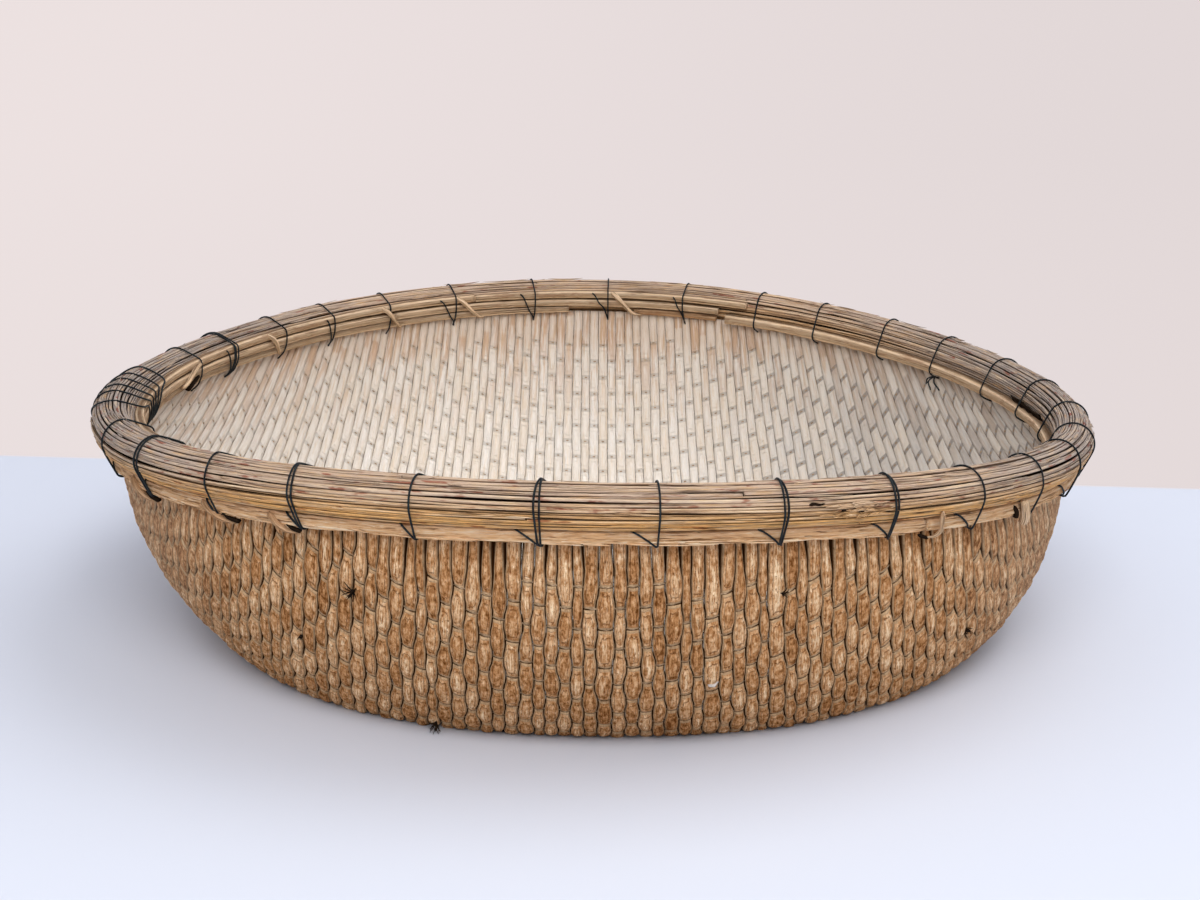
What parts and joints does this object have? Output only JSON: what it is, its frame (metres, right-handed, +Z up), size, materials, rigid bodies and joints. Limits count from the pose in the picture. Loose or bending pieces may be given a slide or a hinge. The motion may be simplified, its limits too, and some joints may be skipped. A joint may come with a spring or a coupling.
{
  "type": "harvest basket",
  "caption": "Shallow round willow harvest basket with a flat base, rounded woven wall and a thick wire-bound bundle rim over inner and outer hoops.",
  "frame": {"origin": "centre of the flat base, on the surface the basket stands on", "axes": "+X to the right seen from the front, +Y to the back, +Z up"},
  "size_m": [0.7118, 0.7068, 0.1837],
  "materials": {
    "willow": "peeled willow rods, weathered tan outside and pale cream inside, matt",
    "strip": "split willow strips, grey-brown and weathered, matt",
    "lath": "pale split rods and laths, matt",
    "core": "dark inside of the bundle, matt",
    "wire": "dark oxidised annealed wire, satin"
  },
  "bodies": {
    "root": {"woven_bowl": "willow", "rim_core": "core", "rim_strip_01": "strip", "rim_strip_02": "strip", "rim_strip_03": "strip", "rim_strip_04": "strip", "rim_strip_05": "strip", "rim_strip_06": "strip", "rim_strip_07": "strip", "rim_strip_08": "strip", "rim_strip_09": "strip", "rim_strip_10": "strip", "rim_strip_11": "strip", "rim_strip_12": "strip", "rim_strip_13": "strip", "rim_strip_14": "strip", "outer_hoop_left": "lath", "outer_hoop_front": "lath", "outer_hoop_short": "lath", "outer_hoop_back": "lath", "inner_hoop_high_1": "lath", "inner_hoop_high_2": "lath", "inner_hoop_high_3": "lath", "inner_hoop_middle_1": "lath", "inner_hoop_middle_2": "lath", "inner_hoop_middle_3": "lath", "inner_hoop_low": "lath", "inner_hoop_thick": "lath", "wire_tie_01": "wire", "wire_tie_02": "wire", "wire_tie_03": "wire", "wire_tie_04": "wire", "wire_tie_05": "wire", "wire_tie_06": "wire", "wire_tie_07": "wire", "wire_tie_08": "wire", "wire_tie_09": "wire", "wire_tie_10": "wire", "wire_tie_11": "wire", "wire_tie_12": "wire", "wire_tie_13": "wire", "wire_tie_14": "wire", "wire_tie_15": "wire", "wire_tie_16": "wire", "wire_tie_17": "wire", "wire_tie_18": "wire", "wire_tie_19": "wire", "wire_tie_20": "wire", "wire_tie_21": "wire", "wire_tie_22": "wire", "wire_tie_23": "wire", "wire_tie_24": "wire", "wire_tie_25": "wire", "wire_tie_26": "wire", "wire_tie_27": "wire", "wire_tie_28": "wire", "wire_tie_29": "wire", "end_lashing": "wire"}
  },
  "joints": []
}
